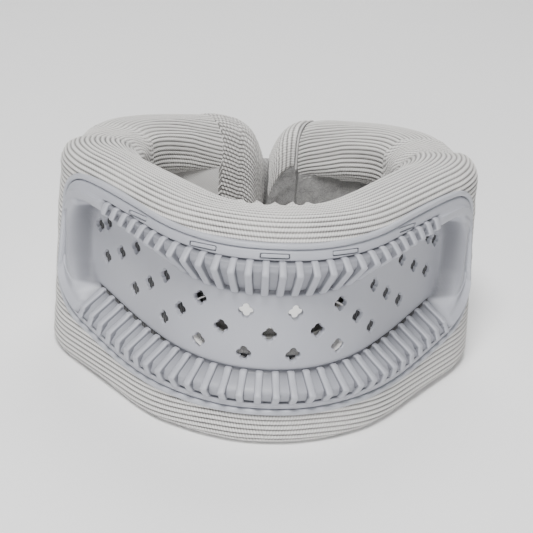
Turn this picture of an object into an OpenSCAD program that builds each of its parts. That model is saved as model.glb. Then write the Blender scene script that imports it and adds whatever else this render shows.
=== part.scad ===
// Soft cervical collar: a padded front section with a ribbed, ventilated support
// shell, two padded rear arms that flex open, and a hook-and-loop closure strap.
// Plan curves run from the front centre (station 0) to the rear centre (station 5).

/* [Overall] */
// Height of the top edge above the middle row of vents, at the front
top_z = 46; // [42:1:50]
// Depth of the base below the middle row of vents, at the front
base_z = 44; // [42:1:48]
// How much higher the sides stand than the front
side_rise = 5; // [0:1:8]
// Backward lean of the front when the collar stands on its base
lean = 7.1; // [5:0.1:9]

/* [Shell] */
// Height of the shell's upper lip above the middle row of vents
lip_top = 35; // [34:1:36]
// Depth of the shell's lower lip below the middle row of vents
lip_low = 29; // [27:1:30]
// Wall thickness of the vent panel
panel_wall = 2.2; // [1.8:0.1:2.6]
// How far the ridges stand out from the fabric at the front
ridge_out = 5.2; // [4:0.1:6]
// Ribs on each half of the upper ridge
ribs_upper = 16; // [12:1:16]
// Ribs on each half of the lower ridge
ribs_lower = 17; // [12:1:17]
// Width of one rib
rib_w = 3; // [2.4:0.1:3.2]
// Distance between neighbouring vents along the panel
vent_pitch = 9.5; // [9:0.1:10]
// Radius of one lobe of a vent
vent_lobe = 1.9; // [1.5:0.1:2.1]

/* [Padding] */
// Thickness of the knit covers
cover_wall = 1.4; // [1.2:0.1:1.8]
// How far the lower edge flares out at the sides
flare = 3.5; // [0:0.5:4]
// Depth of the recess on the inside of each arm
recess = 10; // [6:1:11]

/* [Closure] */
// Height of the closure strap
strap_h = 44; // [36:1:48]
// Thickness of the strap webbing
strap_wall = 1.8; // [1.4:0.1:2]

/* [Hidden] */

gap = 0.25;
depth_shift = -62.62;
outer_start = [0, -3, 0];
outer_run = [[58, 50], [0, 49], [42, 50], [46, 62], [110, 28]];
inner_start = [0, 24, 0];
inner_run = [[28, 52], [0, 45], [22, 48], [30, 66], [45, 40.3]];
slope = tan(lean);
contact_y = 5;
fold_at = 3.08;
shell_end = 2.72;
end_steps = [2.24, 2.36, 2.44, 2.52, 2.6, 2.66];
cuff_from = 4.6;
arm_steps = [3.18, 3.32, 3.49, 3.66, 3.84, 4.02, 4.22, 4.42];
cap_steps = [4.66, 4.74, 4.8, 4.86, 4.91, 4.94];
tip_from = 4.78;
tip_round = 6;
tip_end = 0.22;
clip_s = [0, 25, 56];
clip_w = 8;
clip_t = 2;
window_w = 56;
window_h = 22;
window_r = 4;
window_z = 1;
vent_row = 8.6;
vent_climb = 22;
upper_pitch = 5.45;
lower_pitch = 5.95;
panel_top = 26;
panel_low = 22;
panel_wall_in = 1.2;

// ---- plan curves -------------------------------------------------------------
function run_len(g) = g[0] == 0 ? g[1] : g[0] * g[1] * PI / 180;
function step(p, g, s) = g[0] == 0
    ? [p[0] + s * cos(p[2]), p[1] + s * sin(p[2]), p[2]]
    : let (h = p[2] + s / g[0] * 180 / PI)
      [p[0] + g[0] * (sin(h) - sin(p[2])), p[1] - g[0] * (cos(h) - cos(p[2])), h];
function along(run, q, p, i = 0) = q <= 1 || i == len(run) - 1
    ? step(p, run[i], q * run_len(run[i]))
    : along(run, q - 1, step(p, run[i], run_len(run[i])), i + 1);
function flip(p, q) = [q < 0 ? -p[0] : p[0], p[1], q < 0 ? -p[2] : p[2]];
function outer(q) = flip(along(outer_run, abs(q), outer_start), q);
function inner(q) = flip(along(inner_run, abs(q), inner_start), q);
function smooth(a, b, x) = let (t = min(1, max(0, (x - a) / (b - a)))) t * t * (3 - 2 * t);
// Station at a given distance along the shell from the front centre
function at_length(s) = let (
    a = abs(s) * 1.07, l0 = run_len(outer_run[0]), l1 = run_len(outer_run[1]), l2 = run_len(outer_run[2]))
    sign(s) * (a < l0 ? a / l0 : a < l0 + l1 ? 1 + (a - l0) / l1 : 2 + (a - l0 - l1) / l2);

// ---- section sizes along the collar ----------------------------------------------
function thick(q) = norm([outer(q)[0] - inner(q)[0], outer(q)[1] - inner(q)[1]]);
// A point w outward from the inner face at station q, at height z
function place(q, w, z) = let (o = outer(q), n = inner(q), t = thick(q))
    [n[0] + (o[0] - n[0]) * w / t, n[1] + (o[1] - n[1]) * w / t, z];
// The same, h above the plane that the collar stands on
function stand(q, w, h) = let (p = place(q, w, 0))
    [p[0], p[1], -base_z + slope * (p[1] - contact_y) + h];
function end_drop(q) = let (x = abs(outer(q)[0] + inner(q)[0]) / 2, r = 26)
    abs(q) > 3.5 && x < r ? 23 * (1 - sqrt(1 - pow((r - x) / r, 2))) : 0;
function top(q) = top_z + side_rise * smooth(0.3, 2.6, abs(q)) - end_drop(q);
function flared(q) = flare * smooth(0.3, 1.2, abs(q)) * (1 - smooth(2.4, 3, abs(q)));
function end_round(q) = let (t = max(0, (abs(q) - 2.35) / (shell_end + 0.06 - 2.35)))
    1 - sqrt(max(0, 1 - t * t));
function lip_up(q) = lip_top + 6 * smooth(0.2, 1.9, abs(q)) - 14 * end_round(q);
function lip_dn(q) = -lip_low + 3 * smooth(0.2, 1.2, abs(q)) + 13 * smooth(1, 2.5, abs(q))
    + 14 * end_round(q);
function sunk(q) = (3 + 2.3 * abs(q)) * (1 - smooth(2.12, 2.36, abs(q)));
function ridge(q) = ridge_out - 3.4 * smooth(0.5, 2.3, abs(q));
function notch(q) = abs(q) < shell_end + 0.09
    ? 3 + 2.3 * min(2.3, abs(q)) + panel_wall + 2 * gap
    : 0.3;

// ---- solids from rings ------------------------------------------------------------
module skin(rings) {
    n = len(rings[0]);
    m = len(rings);
    sides = [for (i = [0:m - 2], j = [0:n - 1])
        [(i + 1) * n + j, (i + 1) * n + (j + 1) % n, i * n + (j + 1) % n, i * n + j]];
    first = [for (j = [0:n - 1]) j];
    last = [for (j = [n - 1:-1:0]) (m - 1) * n + j];
    polyhedron([for (r = rings) each r], concat(sides, [first, last]));
}
function span(a, b, n) = [for (i = [0:n]) a + (b - a) * i / n];
module seat() {
    translate([0, depth_shift, contact_y * sin(lean) + base_z * cos(lean)]) rotate([-lean, 0, 0]) children();
}
// A block at station q, with its x outward from the fabric and its z up
module at_face(q, z) {
    o = outer(q);
    translate([o[0], o[1], z]) rotate([0, 0, o[2] - 90]) children();
}

// ---- front section ------------------------------------------------------------------
front_half = concat(span(0.2, 2.0, 9), [2.12], end_steps, [shell_end, 2.76, 2.8, 2.83, 2.95]);
front_stations = concat([for (i = [len(front_half) - 1:-1:0]) -front_half[i]], [0], front_half);
function front_ring(q, e, back = 0) = let (t = thick(q), zt = top(q), f = flared(q),
    d = notch(q) + back) [
    stand(q, e, 7), place(q, e, zt - 9), place(q, e + 2.5, zt - 3 - e), place(q, e + 8, zt - e),
    place(q, t - 8, zt - e), place(q, t - 2 - e, zt - 3.5 - e), place(q, t - e, lip_up(q) + 1.2 + e),
    place(q, t - d - e, lip_up(q) + 1.2 + e), place(q, t - d - e, lip_dn(q) - 1.2 - e),
    place(q, t + f - e, lip_dn(q) - 1.2 - e), stand(q, t + f - e, 5), stand(q, t + f - 4 - e, e),
    stand(q, 5 + e, e)];
module front_solid(e, back = 0, past = 0) {
    last = fold_at + past;
    skin([for (q = concat([-last], front_stations, [last])) front_ring(q, e, back)]);
}
// Opening behind the middle of the vent panel
module window(grow) {
    translate([0, 40, window_z]) rotate([90, 0, 0]) linear_extrude(70)
        union() {
            square([window_w + 2 * grow, window_h + 2 * grow - 2 * window_r], center = true);
            square([window_w + 2 * grow - 2 * window_r, window_h + 2 * grow], center = true);
            for (x = [-1, 1], y = [-1, 1])
                translate([x * (window_w / 2 + grow - window_r), y * (window_h / 2 + grow - window_r)])
                    circle(window_r, $fn = 16);
        }
}
module clip_posts(grow, reach) {
    for (s = clip_s, m = [-1, 1], low = [0, 1])
        if (s > 0 || m > 0) {
            q = at_length(m * s);
            z = low == 0 ? lip_up(q) - 4.6 : lip_dn(q) + 5;
            at_face(q, z) translate([-notch(q) - cover_wall - 0.6, 0, 0])
                translate([0, -clip_w / 2 - grow, -clip_t / 2 - grow])
                    cube([notch(q) + cover_wall + reach, clip_w + 2 * grow, clip_t + 2 * grow]);
        }
}
shell_half = concat([0.12, 0.36, 0.6, 0.84, 1.08, 1.32, 1.56, 1.8, 2.0, 2.12], end_steps, [shell_end]);
shell_stations = let (h = shell_half)
    concat([for (i = [len(h) - 1:-1:0]) -h[i]], h);
function shell_ring(q) = let (t = thick(q), f = flared(q) * 0.6, u = lip_up(q), l = lip_dn(q),
    s = sunk(q), r = ridge(q), h = (u - l) / 64) [
    place(q, t + 0.3, u), place(q, t + 1.8, u - 3.5 * h), place(q, t + r, u - 8 * h),
    place(q, t - s, u - 19.5 * h), place(q, t - s, l + 13.5 * h), place(q, t + r, l + 7.5 * h),
    place(q, t + 1.8 + f, l + 2.5 * h), place(q, t + 0.3 + f, l), place(q, t - 2.4 + f, l),
    place(q, t - s - panel_wall, l + 11 * h), place(q, t - s - panel_wall, u - 15 * h),
    place(q, t - 2.4, u)];
module vent() {
    rotate([0, 90, 0]) {
        translate([0, 0, -20]) linear_extrude(30) union() {
            square(vent_lobe * 2, center = true);
            for (a = [0:90:270]) rotate(a) translate([vent_lobe, 0]) circle(vent_lobe, $fn = 16);
        }
    }
}
module vents() {
    for (v = [-1:1], u = [-10:10])
        if (abs(u + v) % 2 == 0 && (v == 0 || abs(u) < 10)) {
            q = at_length(u * vent_pitch * 0.985);
            at_face(q, v * vent_row + vent_climb * pow(u / 10, 2)) vent();
        }
}
module rib(q, upper) {
    r = ridge(q);
    s = sunk(q);
    h = (lip_up(q) - lip_dn(q)) / 64;
    f = upper ? 0 : flared(q) * 0.6;
    edge = upper ? lip_up(q) - 4.2 * h : lip_dn(q) + 3 * h;
    crest = upper ? lip_up(q) - 8 * h : lip_dn(q) + 7.5 * h;
    foot = upper ? lip_up(q) - 18.5 * h : lip_dn(q) + 12.6 * h;
    at_face(q, 0) rotate([90, 0, 0]) translate([0, 0, -rib_w / 2]) linear_extrude(rib_w)
        polygon([[f, edge], [2.2 + f, edge], [r + 1.3, crest], [r + 0.6, crest + (foot - crest) * 0.2],
            [0.9 - s, foot], [-s - 0.5, foot]]);
}
module front_shell() {
    color("lightsteelblue") seat() difference() {
        union() {
            skin([for (q = shell_stations) shell_ring(q)]);
            for (m = [-1, 1], i = [0:ribs_upper - 1]) rib(at_length(m * (i + 0.5) * upper_pitch), true);
            for (m = [-1, 1], i = [0:ribs_lower - 1]) rib(at_length(m * (i + 0.5) * lower_pitch), false);
        }
        vents();
        clip_posts(gap, 6);
    }
}
// Trim ring that follows the shell's outline
bezel_half = concat(span(0, 2.0, 12), [2.12], end_steps, [shell_end]);
function bezel_path() = let (h = bezel_half, n = len(h), e = shell_end + 0.035) concat(
    [for (i = [n - 1:-1:0]) [-h[i], lip_up(h[i]) + 0.2, 1]],
    [for (i = [1:n - 1]) [h[i], lip_up(h[i]) + 0.2, 1]],
    [for (k = [1:3]) [e, lip_up(e) + (lip_dn(e) - lip_up(e)) * k / 4, 0]],
    [for (i = [n - 1:-1:0]) [h[i], lip_dn(h[i]) - 0.2, -1]],
    [for (i = [1:n - 1]) [-h[i], lip_dn(h[i]) - 0.2, -1]],
    [for (k = [3:-1:1]) [-e, lip_up(e) + (lip_dn(e) - lip_up(e)) * k / 4, 0]]);
function bezel_ring(p) = let (q = p[0], t = thick(q), f = p[2] < 0 ? flared(q) * 0.6 : 0, z = p[1],
    k = p[2] == 0 ? sign(q) : 0, side = 0.012 * k) [
    place(q, t + f - 1.6, z), place(q, t + f + 1.4, z),
    place(q + side, t + f + 1.4, z + p[2] * 0.85), place(q + side, t + f - 1.6, z + p[2] * 0.85)];
module loop_skin(rings) {
    n = len(rings[0]);
    m = len(rings);
    polyhedron([for (r = rings) each r], [for (i = [0:m - 1], j = [0:n - 1])
        [i * n + j, i * n + (j + 1) % n, ((i + 1) % m) * n + (j + 1) % n, ((i + 1) % m) * n + j]]);
}
module shell_bezel() {
    color("slategray") seat() loop_skin([for (p = bezel_path()) bezel_ring(p)]);
}
// Plate inside the padding that the shell's clips pull against
frame_wall = 1.6;
frame_back = cover_wall + gap;
module inner_frame() {
    color("gainsboro") seat() difference() {
        skin([for (q = span(-2.4, 2.4, 20)) let (w = thick(q) - notch(q) - frame_back) [
            place(q, w, lip_up(q) - 1), place(q, w, lip_dn(q) + 1.5),
            place(q, w - frame_wall, lip_dn(q) + 1.5), place(q, w - frame_wall, lip_up(q) - 1)]]);
        window(3);
        clip_posts(gap, 3);
    }
}
module shell_clips() {
    color("lightgray") seat() clip_posts(0, 2);
}
module front_foam() {
    color("khaki") seat() difference() {
        front_solid(cover_wall + gap, frame_wall + gap);
        window(cover_wall + gap);
        clip_posts(gap, 3);
    }
}
module front_cover() {
    color("whitesmoke") seat() difference() {
        front_solid(0);
        difference() {
            front_solid(cover_wall, 0, 0.05);
            window(cover_wall);
        }
        window(0);
        clip_posts(gap, 6);
    }
}
module neck_lining() {
    color("lightgray") seat() difference() {
        skin([for (q = span(-2.9, 2.9, 24)) [
            place(q, -0.1, top(q) - 11), stand(q, -0.1, 9), stand(q, -1, 9), place(q, -1, top(q) - 11)]]);
        window(2);
    }
}

// ---- rear arms -----------------------------------------------------------------------
function tip_inset(q) = let (t = max(0, abs(q) - tip_from) / tip_end)
    tip_round * (1 - sqrt(max(0, 1 - t * t * 0.97)));
// Section of an arm; its inside is recessed up to station until
function arm_ring(q, e, until) = let (t = thick(q), zt = top(q), i = e + tip_inset(q),
    d = abs(q) < until ? recess : 0.6) [
    stand(q, i + 0.5, 8), stand(q, i, 16), stand(q, i + d, 20), place(q, i + d, zt - 24),
    place(q, i, zt - 20), place(q, i + 0.3, zt - 10), place(q, i + 4, zt - 3 - e),
    place(q, t / 2 - 3, zt - i), place(q, t / 2 + 3, zt - i),
    place(q, t - i - 4, zt - 3 - e), place(q, t - i, zt - 11), stand(q, t - i, 8),
    stand(q, t - i - 4, e), stand(q, i + 4, e)];
module arm_solid(stations, e, until) {
    skin([for (q = stations) arm_ring(q, e, until)]);
}
module arm_foam() {
    step_at = cuff_from + 0.036;
    difference() {
        arm_solid(concat(arm_steps, [step_at - 0.002, step_at + 0.002], cap_steps, [4.96]),
            cover_wall + gap, step_at);
        middle_cut(2.6);
    }
}
// Keeps an arm on its own side of the middle, with half a gap
module middle_cut(half) {
    translate([-60 + half, 60, -80]) cube([60, 140, 200]);
}
module arm_cover() {
    difference() {
        arm_solid(concat([fold_at + 0.04], arm_steps, [cuff_from - 0.02]), 0, 5);
        arm_solid(concat([fold_at - 0.05], arm_steps, [cuff_from + 0.1]), cover_wall, 5);
    }
}
module end_cap() {
    step_at = cuff_from + 0.028;
    difference() {
        arm_solid(concat([cuff_from], cap_steps, [4.995]), 0, cuff_from);
        arm_solid(concat([cuff_from - 0.1, step_at - 0.002, step_at + 0.002], cap_steps, [4.97]),
            cover_wall, step_at);
        middle_cut(0.5);
    }
}
module recess_panel() {
    w = recess - 0.2;
    skin([for (q = concat([for (q = arm_steps) if (q > fold_at + 0.2) q], [cuff_from - 0.04])) [
        place(q, w, top(q) - panel_top), stand(q, w, panel_low),
        stand(q, w - panel_wall_in, panel_low), place(q, w - panel_wall_in, top(q) - panel_top)]]);
}
module gusset() {
    skin([for (q = span(fold_at + 0.05, fold_at + 0.34, 3)) [
        place(q, -0.2, top(q) - 10.5), place(q, -0.2, top(q) - 19), place(q, -1.2, top(q) - 19),
        place(q, -1.2, top(q) - 10)]]);
}
module left() {
    seat() mirror([1, 0, 0]) children();
}
module left_arm_foam() {
    color("khaki") left() arm_foam();
}
module left_arm_cover() {
    color("whitesmoke") left() arm_cover();
}
module left_end_cuff() {
    color("gainsboro") left() end_cap();
}
module left_recess_panel() {
    color("silver") left() recess_panel();
}
module left_gusset() {
    color("gainsboro") left() gusset();
}
module right_arm_foam() {
    color("khaki") seat() arm_foam();
}
module right_arm_cover() {
    color("whitesmoke") seat() arm_cover();
}
module right_end_cover() {
    color("gray") seat() end_cap();
}
module right_recess_panel() {
    color("darkgray") seat() recess_panel();
}
module right_gusset() {
    color("gainsboro") seat() gusset();
}

// ---- closure ---------------------------------------------------------------------------
// Bands lie on the outside of the arms; stations run from right to left across the middle.
strap_mid = 8;
root_q = 4.43;
module band(stations, w0, w1, h) {
    skin([for (q = stations) let (t = thick(q)) [
        place(q, t + w0, strap_mid - h / 2), place(q, t + w0, strap_mid + h / 2),
        place(q, t + w1, strap_mid + h / 2), place(q, t + w1, strap_mid - h / 2)]]);
}
module right_loop_field() {
    color("gray") seat() band(span(3.5, 4.9, 10), 0.25, 1.1, strap_h + 8);
}
module strap_anchor() {
    color("dimgray") seat() band(span(-root_q + 0.02, -3.98, 4), 0.25, 2.3, strap_h - 6);
}
module strap_base() {
    color("darkgray") seat() band(span(-root_q + 0.006, -3.92, 5), 2.5, 2.5 + strap_wall, strap_h);
}
module closure_strap() {
    color("darkgray") seat() band(concat(span(3.97, 4.99, 9), span(-4.99, -root_q - 0.006, 5)),
        2.5, 2.5 + strap_wall, strap_h);
}
module hook_patch() {
    color("dimgray") seat() band(span(4.02, 4.62, 5), 1.45, 2.35, strap_h - 6);
}
module strap_tip() {
    color("gray") seat() band(span(3.85, 3.96, 2), 1.6, 4.6, strap_h - 8);
}

front_shell();
shell_bezel();
inner_frame();
shell_clips();
front_foam();
front_cover();
neck_lining();
left_arm_foam();
left_arm_cover();
left_end_cuff();
left_recess_panel();
left_gusset();
right_arm_foam();
right_arm_cover();
right_end_cover();
right_recess_panel();
right_gusset();
right_loop_field();
strap_anchor();
strap_base();
closure_strap();
hook_patch();
strap_tip();
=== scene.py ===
import math

import bpy
import numpy as np
from mathutils import Matrix, Vector, kdtree


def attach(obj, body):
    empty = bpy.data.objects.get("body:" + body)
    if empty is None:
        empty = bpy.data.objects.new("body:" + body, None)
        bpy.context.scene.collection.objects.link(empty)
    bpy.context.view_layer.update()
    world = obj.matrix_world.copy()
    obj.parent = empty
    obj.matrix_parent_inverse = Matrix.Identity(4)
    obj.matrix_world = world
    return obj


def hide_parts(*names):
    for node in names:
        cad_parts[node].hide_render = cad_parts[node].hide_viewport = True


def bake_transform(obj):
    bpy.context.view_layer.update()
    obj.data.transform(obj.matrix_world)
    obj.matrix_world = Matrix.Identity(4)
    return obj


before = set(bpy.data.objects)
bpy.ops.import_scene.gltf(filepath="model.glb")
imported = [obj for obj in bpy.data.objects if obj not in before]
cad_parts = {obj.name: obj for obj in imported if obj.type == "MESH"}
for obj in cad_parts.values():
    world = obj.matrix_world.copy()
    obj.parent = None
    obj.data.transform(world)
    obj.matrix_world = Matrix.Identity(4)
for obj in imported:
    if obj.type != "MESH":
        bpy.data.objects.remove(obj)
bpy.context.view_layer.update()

# ---- the collar's plan: millimetres, front panel upright, before it leans back -------------------
LEAN = math.radians(7.1)
SIN, COS = math.sin(LEAN), math.cos(LEAN)
UP = np.array([0, 0, 1.0])
DEPTH_SHIFT = -62.62
CONTACT_Y, BASE_Z, TOP_Z, SIDE_RISE = 5.0, 44.0, 46.0, 5.0
LIFT = CONTACT_Y * SIN + BASE_Z * COS
LIP_TOP, LIP_LOW, PANEL_WALL, RIDGE_OUT = 35.0, 29.0, 2.2, 5.2
FLARE, RECESS = 3.5, 10.0
VENT_PITCH, VENT_ROW, VENT_CLIMB = 9.5 * 0.985, 8.6, 22.0
UPPER_RIBS, UPPER_PITCH, LOWER_RIBS, LOWER_PITCH = 14, 5.45, 15, 5.95
FOLD, CUFF = 3.08, 4.6
END_START, SHELL_END = 1.85, 2.3
STRAP_H, STRAP_MID, STRAP_ROOT = 44.0, 8.0, 4.43


def seat(p):
    """Points of the upright plan, in the row frame and in metres."""
    x, y, z = p[..., 0], p[..., 1], p[..., 2]
    return np.stack([x, y * COS + z * SIN + DEPTH_SHIFT, z * COS - y * SIN + LIFT], -1) / 1000


def chain(x, y, heading, run):
    """Points and headings along a run of arcs and straights, 400 to a piece."""
    rows = []
    for radius, sweep in run:
        t = np.linspace(0, 1, 401)
        if radius == 0:
            h = np.full(401, heading)
            px = x + sweep * t * math.cos(heading)
            py = y + sweep * t * math.sin(heading)
        else:
            h = heading + math.radians(sweep) * t
            px = x + radius * (np.sin(h) - math.sin(heading))
            py = y - radius * (np.cos(h) - math.cos(heading))
        rows.append(np.stack([px, py, h], 1)[:400])
        x, y, heading = px[-1], py[-1], h[-1]
    rows.append(np.array([[x, y, heading]]))
    return np.concatenate(rows)


OUTER = chain(0, -3, 0, [(58, 50), (0, 49), (42, 50), (46, 62), (110, 28)])
INNER = chain(0, 24, 0, [(28, 52), (0, 45), (22, 48), (30, 66), (45, 40.3)])
STEPS = np.linspace(0, 5, len(OUTER))
TRAVEL = np.concatenate([[0], np.cumsum(np.hypot(*np.diff(OUTER[:, :2], axis=0).T))])


def curve(table, q):
    """Position and heading of a plan curve at station q; negative stations mirror it."""
    a = np.abs(q)
    x, y, h = (np.interp(a, STEPS, table[:, k]) for k in range(3))
    side = np.where(q < 0, -1.0, 1.0)
    return x * side, y, h * side


def thick(q):
    """Padding thickness at station q."""
    (ox, oy, _), (nx, ny, _) = curve(OUTER, q), curve(INNER, q)
    return np.hypot(ox - nx, oy - ny)


def place(q, w, z):
    """A point w outward from the inner face at station q, at height z."""
    (ox, oy, _), (nx, ny, _) = curve(OUTER, q), curve(INNER, q)
    t = np.hypot(ox - nx, oy - ny)
    return np.stack(np.broadcast_arrays(nx + (ox - nx) * w / t, ny + (oy - ny) * w / t, z), -1)


def base(q, w):
    """Height of the resting plane under a point w outward at station q."""
    return -BASE_Z + math.tan(LEAN) * (place(q, w, 0.0)[..., 1] - CONTACT_Y)


def smooth(a, b, x):
    t = np.clip((x - a) / (b - a), 0, 1)
    return t * t * (3 - 2 * t)


def top(q):
    """Height of the padding's crown, with a dip at the fold and a fall to the arm's tip."""
    (ox, _, _), (nx, _, _) = curve(OUTER, q), curve(INNER, q)
    near = np.clip(1 - np.abs(ox + nx) / 52, 0, 1) * (np.abs(q) > 3.5)
    dip = 4.5 * np.exp(-((np.abs(q) - 3.12) / 0.24) ** 2)
    return TOP_Z + SIDE_RISE * smooth(0.3, 2.6, np.abs(q)) - dip - 23 * (1 - np.sqrt(1 - near ** 2))


def flared(q):
    a = np.abs(q)
    return FLARE * smooth(0.3, 1.2, a) * (1 - smooth(2.4, 3, a))


def end_round(q):
    t = np.clip((np.abs(q) - END_START) / (SHELL_END - END_START), 0, 1)
    return 1 - np.sqrt(1 - t * t)


def lip_up(q):
    return LIP_TOP + 6 * smooth(0.2, 1.9, np.abs(q)) - 14 * end_round(q)


def lip_dn(q):
    a = np.abs(q)
    return -LIP_LOW + 3 * smooth(0.2, 1.2, a) + 13 * smooth(1, 2.5, a) + 14 * end_round(q)


def sunk(q):
    a = np.abs(q)
    return (3 + 2.3 * a) * (1 - smooth(2.09, 2.19, a))


def ridge(q):
    return RIDGE_OUT - 3.4 * smooth(0.5, 2.3, np.abs(q))


def at_length(s):
    """Station at distance s along the front panel from the middle."""
    return np.sign(s) * np.interp(np.abs(s) * 1.07, TRAVEL, STEPS)


# ---- meshes from grids ---------------------------------------------------------------------------
def normals_of(grid, around):
    """Unit normals of a grid of points; around closes its second direction."""
    du = np.gradient(grid, axis=0)
    dv = (np.roll(grid, -1, 1) - np.roll(grid, 1, 1)) / 2 if around else np.gradient(grid, axis=1)
    n = np.cross(du, dv)
    return n / np.maximum(np.linalg.norm(n, axis=-1, keepdims=True), 1e-12)


def lengths_of(grid, axis):
    """Distance travelled along one direction of a grid, in the grid's units."""
    d = np.linalg.norm(np.diff(grid, axis=axis), axis=-1)
    pad = [(1, 0), (0, 0)] if axis == 0 else [(0, 0), (1, 0)]
    return np.pad(np.cumsum(d, axis=axis), pad)


def inside_out(points, faces):
    """Whether the faces, fanned out about the middle, wind inward."""
    tris = np.array([(f[0], f[k], f[k + 1]) for f in faces for k in range(1, len(f) - 1)])
    a, b, c = (points[tris[:, k]] for k in range(3))
    return np.sum(a * np.cross(b, c)) < 0


def build(name, verts, faces, finish, weave=None, sharp=None):
    """A smooth-shaded piece; weave carries, per point, distance along, rib number and shade."""
    mesh = bpy.data.meshes.new(name)
    points = verts.reshape(-1, 3)
    if inside_out(points - points.mean(0), faces):
        faces = [face[::-1] for face in faces]
    mesh.from_pydata(points.tolist(), [], faces)
    mesh.validate()
    if weave is not None and len(mesh.vertices) == len(verts.reshape(-1, 3)):
        layer = mesh.attributes.new("weave", "FLOAT_VECTOR", "POINT")
        layer.data.foreach_set("vector", weave.reshape(-1).astype(np.float32))
    mesh.polygons.foreach_set("use_smooth", [True] * len(mesh.polygons))
    if sharp:
        mesh.set_sharp_from_angle(angle=math.radians(sharp))
    mesh.materials.append(finish)
    piece = bpy.data.objects.new(name, mesh)
    bpy.context.scene.collection.objects.link(piece)
    return piece


def grid_faces(m, n, around=False, ends=(False, False), flip=False, keep=None, start=0):
    rows = np.arange(m - 1)[:, None]
    cols = np.arange(n if around else n - 1)[None, :]
    nxt = (cols + 1) % n
    quads = np.stack(np.broadcast_arrays(
        rows * n + cols, rows * n + nxt, (rows + 1) * n + nxt, (rows + 1) * n + cols), -1)
    if keep is not None:
        quads = quads[keep[: m - 1, : quads.shape[1]]]
    quads = quads.reshape(-1, 4)
    faces = (quads[:, ::-1] if flip else quads) + start
    faces = faces.tolist()
    if ends[0]:
        cap = list(range(start, start + n))
        faces.append(cap if flip else cap[::-1])
    if ends[1]:
        cap = list(range(start + (m - 1) * n, start + m * n))
        faces.append(cap[::-1] if flip else cap)
    return faces


def join(parts):
    """Vertices and faces of several (points, faces) parts as one set."""
    verts, faces, start = [], [], 0
    for v, f in parts:
        v = v.reshape(-1, 3)
        verts.append(v)
        faces += [[i + start for i in face] for face in f]
        start += len(v)
    return np.concatenate(verts), faces


def soft_ring(corners, radii, steps=7):
    """Closed rings through corners (stations, corners, 2), each corner rounded off over its radius."""
    before = np.roll(corners, 1, 1) - corners
    after = np.roll(corners, -1, 1) - corners
    lb = np.linalg.norm(before, axis=-1, keepdims=True)
    la = np.linalg.norm(after, axis=-1, keepdims=True)
    r = radii[..., None]
    start = corners + before / np.maximum(lb, 1e-6) * np.minimum(r, lb * 0.49)
    end = corners + after / np.maximum(la, 1e-6) * np.minimum(r, la * 0.49)
    t = np.linspace(0, 1, steps)[:, None]
    out = (start[:, :, None] * (1 - t) ** 2 + 2 * corners[:, :, None] * t * (1 - t)
           + end[:, :, None] * t ** 2)
    return out.reshape(len(corners), -1, 2)


def even(rings, count, shift=0.0):
    """Each closed ring spread over count points at even distances."""
    out = np.empty((len(rings), count, rings.shape[-1]))
    for i, ring in enumerate(rings):
        loop = np.concatenate([ring, ring[:1]])
        d = np.concatenate([[0], np.cumsum(np.linalg.norm(np.diff(loop, axis=0), axis=1))])
        at = ((np.arange(count) / count + shift) % 1) * d[-1]
        for k in range(rings.shape[-1]):
            out[i, :, k] = np.interp(at, d, loop[:, k])
    return out


def spline_weights(coarse, at):
    """Matrix that reads a row of coarse values at fractional places, smoothly."""
    w = np.zeros((len(at), coarse))
    i = np.clip(np.floor(at).astype(int), 0, coarse - 2)
    t = at - i
    basis = [(1 - t) ** 3 / 6, (3 * t ** 3 - 6 * t ** 2 + 4) / 6,
             (-3 * t ** 3 + 3 * t ** 2 + 3 * t + 1) / 6, t ** 3 / 6]
    for k, b in enumerate(basis):
        np.add.at(w, (np.arange(len(at)), np.clip(i + k - 1, 0, coarse - 1)), b)
    return w


def read_grid(grid, rows, cols):
    """The grid read at fractional rows and columns."""
    a = spline_weights(grid.shape[0], rows)
    b = spline_weights(grid.shape[1], cols)
    return np.einsum("ai,ijk,bj->abk", a, grid, b)


def tube(path, radius, sides=8, around=False):
    """Points and faces of a round cord along a path."""
    path = np.asarray(path, float)
    t = (np.roll(path, -1, 0) - np.roll(path, 1, 0)) if around else np.gradient(path, axis=0)
    t /= np.maximum(np.linalg.norm(t, axis=1, keepdims=True), 1e-12)
    up = np.array([0.03, 0.02, 1.0])
    a = np.cross(t, up)
    a /= np.maximum(np.linalg.norm(a, axis=1, keepdims=True), 1e-9)
    b = np.cross(t, a)
    phi = np.arange(sides) / sides * 2 * math.pi
    r = np.broadcast_to(np.asarray(radius, float), (len(path),))[:, None, None]
    pts = path[:, None] + r * (np.cos(phi)[None, :, None] * a[:, None] + np.sin(phi)[None, :, None] * b[:, None])
    if around:
        pts = np.concatenate([pts, pts[:1]])
    ends = (not around, not around)
    return pts, grid_faces(len(pts), sides, True, ends, flip=True)


def stitches(path, out, length=2.2, gap=1.3, radius=0.28):
    """Separate thread stitches lying along a path, in metres; out is the way they stand proud."""
    path = np.asarray(path, float)
    d = np.concatenate([[0], np.cumsum(np.linalg.norm(np.diff(path, axis=0), axis=1))]) * 1000
    parts = []
    for a in np.arange(0.4, d[-1] - length, length + gap):
        t = np.linspace(a, a + length, 6)
        p = np.stack([np.interp(t, d, path[:, k]) for k in range(3)], 1)
        n = np.stack([np.interp(t, d, out[:, k]) for k in range(3)], 1)
        arch = np.sin(np.linspace(0, math.pi, 6))[:, None]
        parts.append(tube(p + n * (arch * 0.45 - 0.15) / 1000, radius / 1000, 6))
    return join(parts)


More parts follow.
